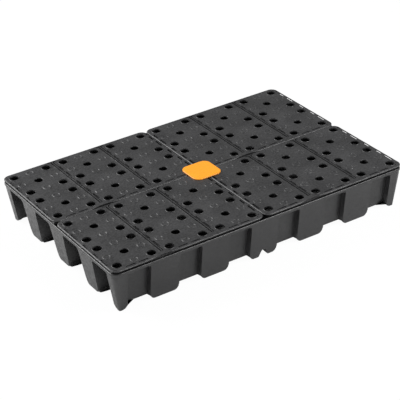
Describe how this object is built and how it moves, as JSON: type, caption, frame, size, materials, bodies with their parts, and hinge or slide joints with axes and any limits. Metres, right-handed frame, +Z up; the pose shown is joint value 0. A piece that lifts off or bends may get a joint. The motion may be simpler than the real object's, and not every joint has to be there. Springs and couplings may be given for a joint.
{
  "type": "spill containment pallet",
  "caption": "Low rectangular spill pallet: a sump tray on short hollow feet, lift-out perforated deck tiles and a square link plate that locks them together.",
  "frame": {"origin": "centre of the footprint, on the floor under the feet", "axes": "+X along the long side, +Y along the short side, +Z up through the deck"},
  "size_m": [1.199, 0.799, 0.175],
  "materials": {
    "tray_plastic": "anthracite polyethylene, fine satin grain",
    "deck_plastic": "anthracite polyethylene, fine satin grain",
    "link_plastic": "orange moulded plastic, smooth satin"
  },
  "bodies": {
    "tray": {"sump_tray": "tray_plastic"},
    "tile_front_left": {"deck_tile_front_left": "deck_plastic"},
    "tile_front_right": {"deck_tile_front_right": "deck_plastic"},
    "tile_rear_left": {"deck_tile_rear_left": "deck_plastic"},
    "tile_rear_right": {"deck_tile_rear_right": "deck_plastic"},
    "plate": {"link_plate": "link_plastic"}
  },
  "joints": [
    {"name": "lift_front_left", "type": "slide", "parent": "tray", "child": "tile_front_left", "axis": [0, 0, 1], "range_m": [0, 0.2]},
    {"name": "lift_front_right", "type": "slide", "parent": "tray", "child": "tile_front_right", "axis": [0, 0, 1], "range_m": [0, 0.2]},
    {"name": "lift_rear_left", "type": "slide", "parent": "tray", "child": "tile_rear_left", "axis": [0, 0, 1], "range_m": [0, 0.2]},
    {"name": "lift_rear_right", "type": "slide", "parent": "tray", "child": "tile_rear_right", "axis": [0, 0, 1], "range_m": [0, 0.2]},
    {"name": "lift_link_plate", "type": "slide", "parent": "tray", "child": "plate", "axis": [0, 0, 1], "range_m": [0, 0.4]}
  ],
  "couplings": [
    {"joint": "lift_front_right", "follows": "lift_front_left", "ratio": 1},
    {"joint": "lift_rear_left", "follows": "lift_front_left", "ratio": 1},
    {"joint": "lift_rear_right", "follows": "lift_front_left", "ratio": 1},
    {"joint": "lift_link_plate", "follows": "lift_front_left", "ratio": 2}
  ]
}
